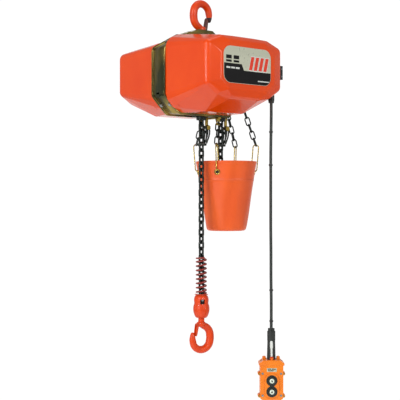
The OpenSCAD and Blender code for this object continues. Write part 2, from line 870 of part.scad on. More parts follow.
module pendant_gland() {
    color(black) {
        difference() {
            union() {
                translate([pendant_at[0], pendant_at[1], -277]) cylinder(h = 37, r = 9);
                translate([pendant_at[0], pendant_at[1], -284]) cylinder(h = 7, r1 = 7.5, r2 = 8.6);
            }
            translate([pendant_at[0], pendant_at[1], -290]) cylinder(h = 18.05, r = 5);
        }
        translate(wire_route[0]) cylinder(h = 34, r = 4);
    }
}

module support_wire() {
    color([0.55, 0.56, 0.58]) tube(whole(wire_route), wire_rope_r, 8, [1, 0, 0]);
}

module cord_ties() {
    color(black) for (t = ties)
        translate([t[0] + 0.6, 106, t[1]]) difference() {
            cylinder(h = 4, r = 8.6);
            translate([0, 0, -1]) cylinder(h = 6, r = 7.6);
        }
}

module pendant_boot() {
    x = pendant_at[0];
    y = pendant_at[1];
    color(black) difference() {
        union() {
            translate([x, y, -931]) cylinder(h = 8, r = 9.5);
            translate([x, y, -957]) cylinder(h = 26, r = 11.5);
            translate([x, y, case_top]) cylinder(h = -957 - case_top, r1 = 12.4, r2 = 11);
        }
        translate([x, y, -958]) cylinder(h = 40, r = 5);
        translate([wire_hole[0][0], wire_hole[0][1], -956]) cylinder(h = 40, r = 3.1);
        rod(wire_hole[1], wire_hole[2], 3.3, 3.3);
    }
}

module case_solid() {
    intersection() {
        translate([0, 0, case_base]) linear_extrude(case_top - case_base)
            polygon(rounded(block(-case_w / 2, case_w / 2, -case_d / 2, case_d / 2), 7));
        translate([0, case_d / 2 + 1, 0]) rotate([90, 0, 0]) linear_extrude(case_d + 2)
            polygon(rounded(block(-case_w / 2, case_w / 2, case_base, case_top + 2), 8));
    }
    // Sloping shoulders with a rounded rim
    intersection() {
        translate([0, 0, -1040]) linear_extrude(40)
            polygon(rounded(block(-case_w / 2 - 3.5, case_w / 2 + 3.5, -case_d / 2 - 1.5,
                case_d / 2 + 1.5), 9));
        translate([0, case_d / 2 + 5, 0]) rotate([90, 0, 0]) linear_extrude(case_d + 10)
            polygon(rounded([[-36, -1026], [36, -1026], [36, -1020], [24, case_top], [-24, case_top],
                [-36, -1020]], 2));
    }
}

module pendant_shell(front) {
    in_pendant() difference() {
        intersection() {
            case_solid();
            translate([-50, front ? -50 : 0.05, case_base - 1]) cube([100, 49.95, 120]);
        }
        translate([0, 0, case_base + 3]) linear_extrude(case_top - case_base - 9)
            polygon(rounded(inset(block(-case_w / 2, case_w / 2, -case_d / 2, case_d / 2), 3), 5));
        for (z = button_z)
            translate([0, 0, z]) rotate([90, 0, 0]) cylinder(h = 60, r = 12.5);
    }
}

module pendant_front() {
    color(orange) {
        pendant_shell(true);
        in_pendant() translate([-3, -19, case_top]) cube([6, 5.6, wire_route[18][2] - case_top]);
    }
}

module pendant_back() {
    color(orange) difference() {
        union() {
            pendant_shell(false);
            in_pendant() for (x = [-20, 20]) translate([x - 3, 4, case_top - 4]) cube([6, 10, 12]);
        }
        in_pendant() translate([-40, 9, case_top + 3.5]) rotate([0, 90, 0]) cylinder(h = 80, r = 2);
    }
}

module button_guard() {
    color(orange) in_pendant() difference() {
        translate([0, -case_d / 2 - 0.02, 0]) rotate([90, 0, 0]) linear_extrude(5)
            polygon(rounded(block(-20, 20, -1117, -1048), 19));
        for (z = button_z)
            translate([0, 0, z]) rotate([90, 0, 0]) cylinder(h = 60, r = 12.5);
    }
}

module push_button(z) {
    in_pendant() translate([0, 0, z]) rotate([90, 0, 0]) {
        cylinder(h = case_d / 2 + 5, r = 12.2);
        translate([0, 0, case_d / 2 + 5]) cylinder(h = 2, r1 = 12.2, r2 = 9.5);
        translate([0, 0, case_d / 2 + 7]) cylinder(h = 2.5, r = 6.6);
    }
}

module up_button() {
    color([0.85, 0.90, 0.84]) push_button(button_z[0]);
}

module down_button() {
    color([0.85, 0.90, 0.84]) push_button(button_z[1]);
}

frame_band();
hook_yoke();
motor_plate();
gear_plate();
gearbox_end_plate();
motor_cover();
gear_cover();
frame_bolts();
label_plate();
top_hook();
top_hook_nut();
top_latch();
top_latch_pin();
motor_stator();
motor_rotor();
cooling_fan();
shaft_bearings();
brake_coil();
brake_armature();
brake_disc();
intermediate_gear();
intermediate_pinion();
output_gear();
load_sheave();
sheave_chain();
chain_guide();
chain_stripper();
contactor();
transformer();
power_inlet();
case_screws();
load_chain();
load_chain_end();
slack_chain();
stored_chain();
upper_limit_lever();
lower_limit_lever();
buffer_spring();
block_half_left();
block_half_right();
block_bolts();
chain_pin();
bottom_hook();
hook_bearing();
bottom_latch();
bottom_latch_pin();
chain_bucket();
bucket_bails();
bucket_chains();
support_brackets();
pendant_cord();
pendant_gland();
support_wire();
cord_ties();
pendant_boot();
pendant_front();
pendant_back();
button_guard();
up_button();
down_button();
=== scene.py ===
import bpy
import bmesh
import json
import math
from mathutils import Matrix, Vector


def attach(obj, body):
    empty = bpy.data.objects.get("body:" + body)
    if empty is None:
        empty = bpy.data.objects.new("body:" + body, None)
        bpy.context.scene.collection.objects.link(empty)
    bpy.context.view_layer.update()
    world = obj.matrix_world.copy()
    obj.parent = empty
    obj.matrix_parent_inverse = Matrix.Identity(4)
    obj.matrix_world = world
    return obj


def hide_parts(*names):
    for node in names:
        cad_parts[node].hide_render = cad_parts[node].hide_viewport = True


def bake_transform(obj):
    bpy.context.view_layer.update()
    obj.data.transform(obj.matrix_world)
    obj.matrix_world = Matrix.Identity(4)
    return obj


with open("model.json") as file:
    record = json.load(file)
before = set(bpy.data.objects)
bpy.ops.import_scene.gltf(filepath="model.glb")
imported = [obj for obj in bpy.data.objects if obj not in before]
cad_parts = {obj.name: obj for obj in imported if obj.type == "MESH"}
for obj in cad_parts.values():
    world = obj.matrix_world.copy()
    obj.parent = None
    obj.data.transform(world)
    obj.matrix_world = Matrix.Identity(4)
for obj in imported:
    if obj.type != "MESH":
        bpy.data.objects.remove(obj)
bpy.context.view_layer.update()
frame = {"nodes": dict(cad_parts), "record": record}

# Shapes are drawn in millimetres: X along the drive unit, Z up, the load line at X = Y = 0
UNIT_Y = -12            # middle plane of the drive unit
BAND_HALF = 30
COVER_END = 215
LABEL_FACE = 216.2
PITCH = 19.1            # of the load chain
LINK_BEND = 6.9
CHAIN_WIRE = 3.1
LINK_ZERO = -843.5      # middle of the link on the load pin
TAIL_LINKS = 9
TOP_LINK = 26
SLACK_Y = 73.8
HEADROOM = 983          # between the two hook saddles
LATCH_PIN = (0, 12.5, -62)
BLOCK_TOP = -834.4
BLOCK_LOW = -901
BLOCK_YAW = -30
BUCKET_AT = (-17, 112)
BUCKET_BASE = -651
BUCKET_HIGH = 207
BASE_R = 59
RIM_R = 91
EYELET_Z = -477
PENDANT_AT = (180, 108)
PENDANT_YAW = 50
CASE_HALF = 32.5
CASE_DEEP = 23          # from the seam to the front
CASE_LOW = -1123
BOSSES = [(x, z) for x in (-33.99, 33.99) for z in (-1050, -1113)]
BUTTONS = (("up_button", -1067.6, 1), ("down_button", -1098.5, -1))
FLOOR_Z = -1.5

# ---------------------------------------------------------------- small helpers
PI = math.pi


def linear(level):
    """A screen level of 0 to 255 as the linear value that shaders work in."""
    c = level / 255
    return c / 12.92 if level <= 10 else ((c + 0.055) / 1.055) ** 2.4


def colour(r, g, b):
    return (linear(r), linear(g), linear(b), 1.0)


def smooth_points(route, parts=2):
    """Points of a smooth curve through the route."""
    out = []
    last = len(route) - 1
    for i in range(last):
        a, b, c, d = (Vector(route[max(0, min(last, k))]) for k in (i - 1, i, i + 1, i + 2))
        for k in range(parts):
            t = k / parts
            out.append(0.5 * (2 * b + (c - a) * t + (2 * a - 5 * b + 4 * c - d) * t * t
                              + (3 * b - a - 3 * c + d) * t ** 3))
    return out + [Vector(route[last])]


def arc_points(outline, radius, steps=6):
    """Rounds the corners of an anticlockwise outline; radius is one number or one for each corner."""
    out = []
    n = len(outline)
    for i in range(n):
        p, a, b = Vector(outline[i]), Vector(outline[i - 1]), Vector(outline[(i + 1) % n])
        r = radius[i] if isinstance(radius, (list, tuple)) else radius
        u, v = (a - p).normalized(), (b - p).normalized()
        half = math.acos(max(-1, min(1, u.dot(v)))) / 2
        cut = r / math.tan(half)
        middle = p + (u + v).normalized() * (r / math.sin(half))
        s, e = p + u * cut - middle, p + v * cut - middle
        a0 = math.atan2(s.y, s.x)
        turn = (math.atan2(e.y, e.x) - a0 + PI) % (2 * PI) - PI
        out += [middle + Vector((math.cos(a0 + turn * k / steps), math.sin(a0 + turn * k / steps))) * r
                for k in range(steps + 1)]
    return out


def inset(outline, d):
    """Moves each side of an anticlockwise outline inwards."""
    n = len(outline)
    out = []
    for i in range(n):
        p, a, b = Vector(outline[i]), Vector(outline[i - 1]), Vector(outline[(i + 1) % n])
        e, f = (p - a).normalized(), (b - p).normalized()
        m, k = Vector((-e.y, e.x)), Vector((-f.y, f.x))
        out.append(p + (m + k) / (1 + m.dot(k)) * d)
    return out


def loft(rings, closed=False):
    """A mesh through rings of equally many points; its ends are capped unless it closes on itself."""
    bm = bmesh.new()
    rows = [[bm.verts.new(p) for p in ring] for ring in rings]
    n = len(rings[0])
    m = len(rings)
    for i in range(m if closed else m - 1):
        a, b = rows[i], rows[(i + 1) % m]
        for k in range(n):
            bm.faces.new((a[k], a[(k + 1) % n], b[(k + 1) % n], b[k]))
    if not closed:
        bm.faces.new(rows[0][::-1])
        bm.faces.new(rows[-1])
    bmesh.ops.recalc_face_normals(bm, faces=bm.faces)
    return bm


def frames(points, closed=False, up=(0, 0, 1)):
    """Axes along a path that turn as little as they can."""
    n = len(points)
    out = []
    side = None
    for i in range(n):
        a = points[(i - 1) % n] if closed or i else points[i]
        b = points[(i + 1) % n] if closed or i < n - 1 else points[i]
        t = (Vector(b) - Vector(a)).normalized()
        if side is None:
            side = t.cross(Vector(up))
            if side.length < 1e-4:
                side = t.cross(Vector((1, 0, 0)))
        side = (side - t * side.dot(t)).normalized()
        out.append((t, side.copy(), t.cross(side)))
    return out


def sweep(points, radius, sides=12, closed=False, up=(0, 0, 1)):
    """A tube along points; radius is one number or one for each point."""
    rings = []
    for i, (_, u, v) in enumerate(frames(points, closed, up)):
        r = radius[i] if isinstance(radius, (list, tuple)) else radius
        angles = [2 * PI * k / sides for k in range(sides)]
        rings.append([Vector(points[i]) + (u * math.cos(a) + v * math.sin(a)) * r for a in angles])
    return loft(rings, closed)


def lathe(profile, sides=64, closed=False, wave=None):
    """Turns a profile of (radius, height) about Z; wave(angle, height) is added to the radius."""
    rings = []
    for r, z in profile:
        ring = []
        for k in range(sides):
            a = 2 * PI * k / sides
            q = r + (wave(a, z) if wave else 0)
            ring.append(Vector((q * math.cos(a), q * math.sin(a), z)))
        rings.append(ring)
    return loft(rings, closed)


def prism(outline, low, high, bevel=0.0, segments=3, only_high=False):
    """An outline of (x, y) run along Z, with its end rims rounded."""
    bm = bmesh.new()
    a = [bm.verts.new((p[0], p[1], low)) for p in outline]
    b = [bm.verts.new((p[0], p[1], high)) for p in outline]
    n = len(a)
    bm.faces.new(a[::-1])
    bm.faces.new(b)
    for k in range(n):
        bm.faces.new((a[k], a[(k + 1) % n], b[(k + 1) % n], b[k]))
    if bevel:
        ends = [set(b)] if only_high else [set(a), set(b)]
        rim = [e for e in bm.edges if any(set(e.verts) <= end for end in ends)]
        bmesh.ops.bevel(bm, geom=rim, offset=bevel, segments=segments, profile=0.5, affect="EDGES",
                        clamp_overlap=True)
    bmesh.ops.recalc_face_normals(bm, faces=bm.faces)
    return bm


def block(x0, x1, y0, y1):
    return [(x0, y0), (x1, y0), (x1, y1), (x0, y1)]


def slant(x0, x1, y0, y1, lean):
    """A four-sided outline whose top side is pushed along by lean."""
    return [(x0, y0), (x1, y0), (x1 + lean, y1), (x0 + lean, y1)]


def join(*parts):
    """One mesh of several, each a mesh or a pair of mesh and matrix."""
    out = bmesh.new()
    for part in parts:
        bm, matrix = part if isinstance(part, tuple) else (part, Matrix.Identity(4))
        bmesh.ops.transform(bm, matrix=matrix, verts=bm.verts)
        temp = bpy.data.meshes.new("part")
        bm.to_mesh(temp)
        out.from_mesh(temp)
        bpy.data.meshes.remove(temp)
    return out


def carve(bm, *cutters):
    """Cuts meshes out of a mesh."""
    def holder(mesh_bm, name):
        mesh = bpy.data.meshes.new(name)
        mesh_bm.to_mesh(mesh)
        obj = bpy.data.objects.new(name, mesh)
        bpy.context.scene.collection.objects.link(obj)
        return obj
    body, knife = holder(bm, "body"), holder(join(*cutters), "knife")
    cut = body.modifiers.new("cut", "BOOLEAN")
    cut.object = knife
    cut.solver = "EXACT"
    bpy.context.view_layer.update()
    out = bmesh.new()
    out.from_mesh(body.evaluated_get(bpy.context.evaluated_depsgraph_get()).to_mesh())
    for obj in (body, knife):
        mesh = obj.data
        bpy.data.objects.remove(obj)
        bpy.data.meshes.remove(mesh)
    return out


def move(x, y, z):
    return Matrix.Translation((x, y, z))


def turn(degrees, axis):
    return Matrix.Rotation(math.radians(degrees), 4, axis)


def toward(direction):
    return Vector(direction).to_track_quat("Z", "Y").to_matrix().to_4x4()


# Stands a drawing up so that its x runs along Y, its y along Z and its thickness along X
UPRIGHT = Matrix(((0, 0, 1, 0), (1, 0, 0, 0), (0, 1, 0, 0), (0, 0, 0, 1)))


def piece(name, bm, body, slot, hides=(), finish=None, angle=35, place=None, scale=0.001):
    """Puts a mesh made in millimetres into the scene as a named piece on a body."""
    matrix = Matrix.Scale(scale, 4)
    if place is not None:
        matrix = matrix @ place
    bmesh.ops.transform(bm, matrix=matrix, verts=bm.verts)
    if matrix.determinant() < 0:
        bmesh.ops.reverse_faces(bm, faces=bm.faces)
    for f in bm.faces:
        f.smooth = True
    limit = math.radians(angle)
    for e in bm.edges:
        e.smooth = len(e.link_faces) == 2 and e.calc_face_angle(0) < limit
    mesh = bpy.data.meshes.new(name)
    bm.to_mesh(mesh)
    bm.free()
    obj = bpy.data.objects.new(name, mesh)
    bpy.context.scene.collection.objects.link(obj)
    mesh.materials.append(M[finish or slot])
    if body:
        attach(obj, body)
    if hides:
        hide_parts(*hides)
    return obj


# ---------------------------------------------------------------- camera
camera_data = bpy.data.cameras.new("camera")
camera_data.lens = 90
camera_data.sensor_width = 36
camera = bpy.data.objects.new("camera", camera_data)
camera.location = (2.225, -1.872, -0.559)
camera.rotation_euler = (PI / 2, 0, math.radians(50))
bpy.context.scene.collection.objects.link(camera)
bpy.context.scene.camera = camera
bpy.context.scene.view_settings.view_transform = "Standard"


# ---------------------------------------------------------------- materials
def ramp(tree, value, low, high, to_low=0.0, to_high=1.0):
    node = tree.nodes.new("ShaderNodeMapRange")
    for key, number in (("From Min", low), ("From Max", high), ("To Min", to_low), ("To Max", to_high)):
        node.inputs[key].default_value = number
    tree.links.new(value, node.inputs["Value"])
    return node.outputs[0]


def noise(tree, vector, scale, detail):
    node = tree.nodes.new("ShaderNodeTexNoise")
    node.inputs["Scale"].default_value = scale
    node.inputs["Detail"].default_value = detail
    tree.links.new(vector, node.inputs["Vector"])
    return node.outputs["Fac"]


def maths(tree, operation, *values):
    node = tree.nodes.new("ShaderNodeMath")
    node.operation = operation
    for socket, value in zip(node.inputs, values):
        tree.links.new(value, socket)
    return node.outputs[0]


def mixed(tree, factor, first, second):
    """Mixes two tones, each a colour or the output of a node."""
    node = tree.nodes.new("ShaderNodeMix")
    node.data_type = "RGBA"
    for key, tone in (("A", first), ("B", second)):
        if isinstance(tone, tuple):
            node.inputs[key].default_value = tone
        else:
            tree.links.new(tone, node.inputs[key])
    tree.links.new(factor, node.inputs["Factor"])
    return node.outputs["Result"]


def surface(name, base, second, rough, metal=0.0, coat=0.0, patch=18, grain=700, bump=0.15, depth=0.0002,
            wear=None, hollow_shade=None, stretch=(1, 1, 1), contrast=0.5, rough_swing=0.12, specular=0.5, sheen=0.0):
    """A finish of two tones in patches, with fine grain, uneven gloss, worn edges and painted shade in
    hollows.
    """
    m = bpy.data.materials.new(name)
    m.use_nodes = True
    tree = m.node_tree
    shader = tree.nodes["Principled BSDF"]
    for key, number in (("Metallic", metal), ("Coat Weight", coat), ("Coat Roughness", 0.06),
                        ("Specular IOR Level", specular), ("Sheen Weight", sheen)):
        shader.inputs[key].default_value = number
    place = tree.nodes.new("ShaderNodeTexCoord").outputs["Object"]
    mapping = tree.nodes.new("ShaderNodeMapping")
    mapping.inputs["Scale"].default_value = stretch
    tree.links.new(place, mapping.inputs["Vector"])
    scaled = mapping.outputs[0]
    tone = ramp(tree, noise(tree, scaled, patch, 5), 0.5 - contrast / 2, 0.5 + contrast / 2)
    paint = mixed(tree, tone, colour(*base), colour(*second))
    gloss = ramp(tree, noise(tree, place, patch * 4, 6), 0.3, 0.7, max(0.02, rough - rough_swing / 2),
                 rough + rough_swing / 2)
    sharp = tree.nodes.new("ShaderNodeNewGeometry").outputs["Pointiness"]
    if wear:
        edge = ramp(tree, sharp, 0.54, 0.62)
        chips = ramp(tree, noise(tree, place, 260, 6), 0.5, 0.6)
        paint = mixed(tree, maths(tree, "MULTIPLY", edge, chips), paint, colour(*wear))
    # Painted shade: hollows, found by low pointiness, take a darker colour in place of the shade that falls
    # there
    if hollow_shade:
        paint = mixed(tree, ramp(tree, sharp, 0.49, 0.42), paint, colour(*hollow_shade))
    tree.links.new(paint, shader.inputs["Base Color"])
    tree.links.new(gloss, shader.inputs["Roughness"])
    raised = tree.nodes.new("ShaderNodeBump")
    raised.inputs["Strength"].default_value = bump
    raised.inputs["Distance"].default_value = depth
    tree.links.new(noise(tree, scaled, grain, 3), raised.inputs["Height"])
    tree.links.new(raised.outputs[0], shader.inputs["Normal"])
    return m


def woven(m, pitch, strength):
    """Adds a cloth weave under a vinyl coat to the height of a finish."""
    tree = m.node_tree
    place = next(x for x in tree.nodes if x.type == "TEX_COORD")
    raised = next(x for x in tree.nodes if x.type == "BUMP")
    threads = []
    for axis in ("X", "Y", "Z"):
        wave = tree.nodes.new("ShaderNodeTexWave")
        wave.bands_direction = axis
        wave.inputs["Scale"].default_value = 2 * PI / (20 * pitch)
        wave.inputs["Distortion"].default_value = 0.4
        tree.links.new(place.outputs["Object"], wave.inputs["Vector"])
        threads.append(wave.outputs["Fac"])
    height = maths(tree, "ADD", maths(tree, "ADD", threads[0], threads[1]), threads[2])
    weave = tree.nodes.new("ShaderNodeBump")
    weave.inputs["Strength"].default_value = strength
    weave.inputs["Distance"].default_value = 0.0002
    tree.links.new(height, weave.inputs["Height"])
    tree.links.new(raised.outputs[0], weave.inputs["Normal"])
    tree.links.new(weave.outputs[0], tree.nodes["Principled BSDF"].inputs["Normal"])
    return m


# Each finish by name: two tones, roughness, then what makes it special
FINISHES = {
    "cover_orange": ((226, 72, 4), (218, 62, 0), 0.2,
                     dict(coat=0.25, patch=9, grain=260, bump=0.05, depth=0.0003, rough_swing=0.05,
                          specular=0.3)),
    "frame_zinc": ((164, 142, 78), (74, 78, 56), 0.2,
                   dict(metal=1.0, patch=15, grain=900, bump=0.1, stretch=(1, 1, 0.45), contrast=0.26,
                        rough_swing=0.14)),
    "plate_steel": ((150, 152, 156), (120, 122, 126), 0.38, dict(metal=1.0, patch=30)),
    # machined steel: its hollows are painted darker as shade
    "machined_steel": ((188, 189, 190), (140, 142, 146), 0.28,
                       dict(metal=1.0, patch=60, stretch=(1, 1, 4), hollow_shade=(60, 58, 52))),
    "label_silver": ((204, 206, 184), (188, 191, 170), 0.3,
                     dict(metal=0.35, patch=30, grain=1500, bump=0.04, stretch=(1, 0.1, 1),
                          rough_swing=0.08)),
    "hook_orange": ((222, 70, 10), (202, 54, 4), 0.34,
                    dict(coat=0.15, specular=0.3, patch=60, grain=420, bump=0.14, depth=0.0004,
                         wear=(150, 80, 60))),
    "latch_dark": ((96, 40, 34), (62, 26, 26), 0.4,
                   dict(coat=0.2, patch=80, grain=500, bump=0.2, wear=(150, 90, 70))),
    "winding_iron": ((96, 98, 102), (74, 76, 80), 0.5, dict(metal=0.6, patch=60)),
    "brake_lining": ((72, 64, 56), (50, 46, 42), 0.8, dict(patch=120, grain=900, bump=0.4)),
    "copper_coil": ((168, 92, 46), (128, 62, 30), 0.35, dict(metal=0.9, patch=90, stretch=(12, 1, 1))),
    "chain_black": ((30, 38, 34), (14, 19, 18), 0.33,
                    dict(metal=0.55, patch=120, grain=700, bump=0.25, wear=(120, 122, 112), rough_swing=0.2)),
    "black_plastic": ((26, 28, 27), (16, 17, 17), 0.42, dict(patch=60, grain=1400, bump=0.2)),
    "black_iron": ((34, 42, 38), (17, 22, 20), 0.38,
                   dict(metal=0.45, patch=90, grain=600, bump=0.4, depth=0.0004, wear=(108, 112, 104),
                        rough_swing=0.2)),
    "spring_red": ((156, 38, 22), (110, 22, 14), 0.36,
                   dict(coat=0.3, patch=90, grain=500, wear=(60, 34, 30))),
    # bucket vinyl: its hollows, folds and seams are painted a darker orange as shade
    "bucket_vinyl": ((230, 92, 12), (220, 78, 6), 0.44,
                     dict(patch=12, grain=350, bump=0.08, contrast=0.6, rough_swing=0.1, hollow_shade=(170, 56, 14),
                          sheen=0.1)),
    "gold_zinc": ((206, 178, 92), (160, 132, 58), 0.26,
                  dict(metal=1.0, patch=110, grain=900, bump=0.1, contrast=0.4)),
    "cord_rubber": ((34, 40, 36), (22, 26, 24), 0.55, dict(patch=60, grain=1600, bump=0.25)),
    "wire_steel": ((60, 66, 62), (38, 43, 40), 0.4, dict(metal=0.4, patch=200, grain=1600, bump=0.3)),
    "pendant_yellow": ((236, 130, 14), (226, 114, 6), 0.36,
                       dict(patch=26, grain=900, bump=0.12, rough_swing=0.08)),
    "button_cap": ((222, 232, 214), (206, 218, 200), 0.3, dict(patch=80, grain=900, bump=0.05)),
    "white_sleeve": ((226, 228, 222), (196, 200, 194), 0.32, dict(patch=120, grain=900, bump=0.1)),
    "label_black": ((8, 8, 8), (12, 12, 12), 0.4, dict(specular=0.2, patch=30, grain=1500, bump=0.03)),
    "label_red": ((222, 58, 28), (212, 50, 24), 0.3, dict(patch=30, grain=1500, bump=0.03)),
    # Painted shade: a dark finish for sheets put in holes where only shade would be
    "painted_hole_shade": ((30, 22, 18), (18, 14, 12), 0.6, dict(patch=120, grain=900, bump=0.2)),
    "tip_black": ((52, 40, 40), (36, 28, 30), 0.45, dict(patch=120, grain=600, bump=0.25)),
    "floor_pale": ((250, 250, 250), (246, 246, 246), 0.7, dict(patch=1, grain=40, bump=0.02)),
}
M = {name: surface(name, base, second, rough, **extra)
     for name, (base, second, rough, extra) in FINISHES.items()}
woven(M["bucket_vinyl"], pitch=0.0012, strength=0.12)

# CAD nodes that keep their own shape take a finish here
for entry in frame["record"]["subparts"]:
    node = frame["nodes"].get(entry["node"])
    if node is not None and node.type == "MESH":
        node.data.materials.clear()
        node.data.materials.append(M[entry["material_slot"]])


# ---------------------------------------------------------------- cords
def cord_piece(name, route, radius, slot, node, **facts):
    points = [p / 1000 for p in smooth_points(route)]
    curve = bpy.data.curves.new(name, "CURVE")
    curve.dimensions = "3D"
    spline = curve.splines.new("POLY")
    spline.points.add(len(points) - 1)
    for q, p in zip(spline.points, points):
        q.co = (*p, 1)
    curve.bevel_depth = radius / 1000
    curve.bevel_resolution = 5
    curve.use_fill_caps = True
    curve.materials.append(M[slot])
    obj = bpy.data.objects.new(name, curve)
    bpy.context.scene.collection.objects.link(obj)
    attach(obj, "hoist_body")
    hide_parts(node)


CABLE_R = 4.25
ROPE_R = 2.2
cord_route = [(180, 108, -272), (180, 108, -290), (180, 108, -320), (179, 108, -370), (178, 108, -430),
              (178, 108, -500), (178, 108, -570), (178, 108, -640), (179, 108, -710), (179, 108, -780),
              (180, 108, -840), (180, 108, -890), (180, 108, -930), (180, 108, -958)]
wire_route = [(191, 100, -276), (191, 100, -288), (189, 101.5, -302), (186, 103, -320), (184.6, 103.4, -340),
              (184.2, 103.6, -370), (183.2, 103.6, -430), (183.2, 103.6, -500), (183.2, 103.6, -570),
              (183.2, 103.6, -640), (184.2, 103.6, -710), (184.2, 103.6, -780), (185.2, 103.6, -840),
              (185.2, 103.6, -890), (185.2, 103.6, -930), (185.2, 103.6, -954), (187.4, 101.8, -968),
              (190.6, 99, -986), (191.4, 98.4, -1004)]
cord_piece("pendant_cable", cord_route, CABLE_R, "cord_rubber", "pendant_cord", stiffness="medium")

# White crimp and the thinner sleeve below it, over the end of the support rope
sleeve_line = smooth_points([(185.9, 103.1, -958.5), (187.4, 101.8, -968), (190.6, 99, -986),
                             (191.3, 98.45, -1002)], 6)
CRIMP_END = 9
sleeve_radii = [3.9] + [4.4] * (CRIMP_END - 1) + [3.9] + [2.9] * (len(sleeve_line) - CRIMP_END - 1)
crimp = piece("wire_sleeve", sweep(sleeve_line, sleeve_radii, 16), "hoist_body", "wire_steel",
              finish="white_sleeve")
cord_piece("support_rope", wire_route, ROPE_R, "wire_steel", "support_wire", stiffness="stiff",
           with_pieces=[crimp])


def around_two(a, ra, b, rb, steps=28):
    """Outline of a band pulled round two circles."""
    a, b = Vector(a), Vector(b)
    d = b - a
    base = math.atan2(d.y, d.x)
    lean = math.acos((ra - rb) / d.length)
    out = []
    for k in range(steps + 1):
        t = base + lean + (2 * PI - 2 * lean) * k / steps
        out.append(a + Vector((math.cos(t), math.sin(t))) * ra)
    for k in range(steps // 2 + 1):
        t = base - lean + 2 * lean * k / (steps // 2)
        out.append(b + Vector((math.cos(t), math.sin(t))) * rb)
    return out


def tie(x, z):
    """A plastic tie round the cable and the rope, with its head behind."""
    rings = []
    for out, up in ((0.2, 0), (0.2, 4.6), (1.3, 4.6), (1.5, 4.2), (1.5, 0.4), (1.3, 0)):
        band = around_two((x, PENDANT_AT[1]), CABLE_R + out, (x + 5, 103.6), ROPE_R + out)
        rings.append([Vector((p.x, p.y, z + up)) for p in band])
    head = prism(arc_points(block(-2, 2, -2.2, 2.2), 0.6, 3), 0, 2.6, 0.4)
    return join(loft(rings, closed=True), (head, move(x - 1.2, 112.2, z + 2.2) @ toward((-0.3, 0.95, 0))))


ties = [tie(x, z) for x, z in ((179, -368), (178, -462), (180, -817), (180.2, -905))]
piece("tie_bands", join(*ties), "hoist_body", "black_plastic", ["cord_ties"])

# ---------------------------------------------------------------- end covers
SHIFT = move(0, UNIT_Y, 0)
LIP_X = BAND_HALF + 0.2
BALL_R = 19
flanks = [(-143, -262), (-137, -279), (-117, -298.5), (-84, -312.5), (84, -312.5), (117, -298.5), (137, -279),
          (143, -262), (143, -132)]
rim = [(50, -86), (-50, -86), (-100, -93), (-124, -103), (-139, -118), (-143, -132)] + flanks + [
    (139, -118), (124, -103), (100, -93)]
low_rim = [(50, -98), (-50, -98), (-100, -108), (-124, -114), (-139, -123), (-143, -134)] + flanks + [
    (139, -123), (124, -114), (100, -108)]
far = [(207, 135.5, -133), (207, 135.5, -250), (207, 98, -119), (207, 50, -118), (207, 104, -270),
       (207, 66, -278), (COVER_END, 110, -151), (COVER_END, 110, -243), (COVER_END, 80, -125),
       (COVER_END, 84, -264), (130, 78, -306.5)]


def ball(middle, r, rows=18, columns=36):
    """Points on a ball."""
    for i in range(1, rows):
        a = PI * i / rows
        for k in range(columns):
            b = 2 * PI * k / columns
            yield middle + Vector((math.sin(a) * math.cos(b), math.sin(a) * math.sin(b), math.cos(a))) * r


def roll_lip(bm):
    """Rolls the open edge inwards and runs it into the band; each step is a move inwards and a new X."""
    edges = [e for e in bm.edges if len(e.link_faces) == 1]
    for inward, x in ((0.9, LIP_X - 0.9), (1.3, LIP_X - 0.9), (0.8, LIP_X + 0.4), (0, LIP_X + 24)):
        made = bmesh.ops.extrude_edge_only(bm, edges=edges)["geom"]
        for v in made:
            if isinstance(v, bmesh.types.BMVert):
                v.co -= Vector((0, v.co.y, v.co.z + 200)).normalized() * inward
                v.co.x = x
        edges = [e for e in made if isinstance(e, bmesh.types.BMEdge)]


def cover(mouth_rim, mirrored):
    """A pressed shell: the skin pulled over a rounded mouth and balls in the corners, with a rolled lip."""
    bm = bmesh.new()
    for x in (LIP_X, LIP_X + 0.5):
        for p in arc_points(mouth_rim, 12, 2):
            bm.verts.new((x, p.x, p.y))
    for x, y, z in far:
        for side in (-1, 1):
            lower = -0.6 if z > -200 else 0.6
            middle = Vector((x - BALL_R, side * (y - BALL_R * 0.75), z + lower * BALL_R))
            for p in ball(middle, BALL_R):
                bm.verts.new(p)
    bmesh.ops.convex_hull(bm, input=bm.verts)
    bmesh.ops.delete(bm, geom=[v for v in bm.verts if not v.link_faces], context="VERTS")
    mouth = [f for f in bm.faces if all(abs(v.co.x - LIP_X) < 0.01 for v in f.verts)]
    bmesh.ops.delete(bm, geom=mouth, context="FACES_ONLY")
    bmesh.ops.dissolve_limit(bm, angle_limit=math.radians(0.6), verts=bm.verts, edges=bm.edges)
    roll_lip(bm)
    bmesh.ops.recalc_face_normals(bm, faces=bm.faces)
    if mirrored:
        bmesh.ops.transform(bm, matrix=Matrix.Scale(-1, 4, (1, 0, 0)), verts=bm.verts)
        bmesh.ops.reverse_faces(bm, faces=bm.faces)
    return bm


for name, node, mouth_rim, mirrored in (("gear_cover_shell", "gear_cover", rim, False),
                                        ("motor_cover_shell", "motor_cover", low_rim, True)):
    shell = piece(name, cover(mouth_rim, mirrored), "hoist_body", "cover_orange", [node], angle=40,
                  place=SHIFT)
    even = shell.modifiers.new("even", "WEIGHTED_NORMAL")
    even.keep_sharp = True
    even.weight = 80

# ---------------------------------------------------------------- centre band
section = [(57, -80), (-57, -80), (-148, -129), (-148, -267), (-95, -318), (95, -318), (148, -267),
           (148, -129)]
# Half of the web's profile as (X, depth below the flange), from the flange to the middle
half_web = [(30, 8), (30, 1.0), (29.6, 0.3), (29, 0), (27.4, 0), (26.8, 0.3), (26.5, 1.0), (26.3, 3.2),
            (25.4, 4.0), (8, 4.0), (7, 3.5)]
web = [(-x, d) for x, d in half_web] + half_web[::-1]


def band_ring(x, d):
    return [Vector((x, p.x, p.y)) for p in arc_points(inset(section, d), 20 - min(d, 12), 8)]


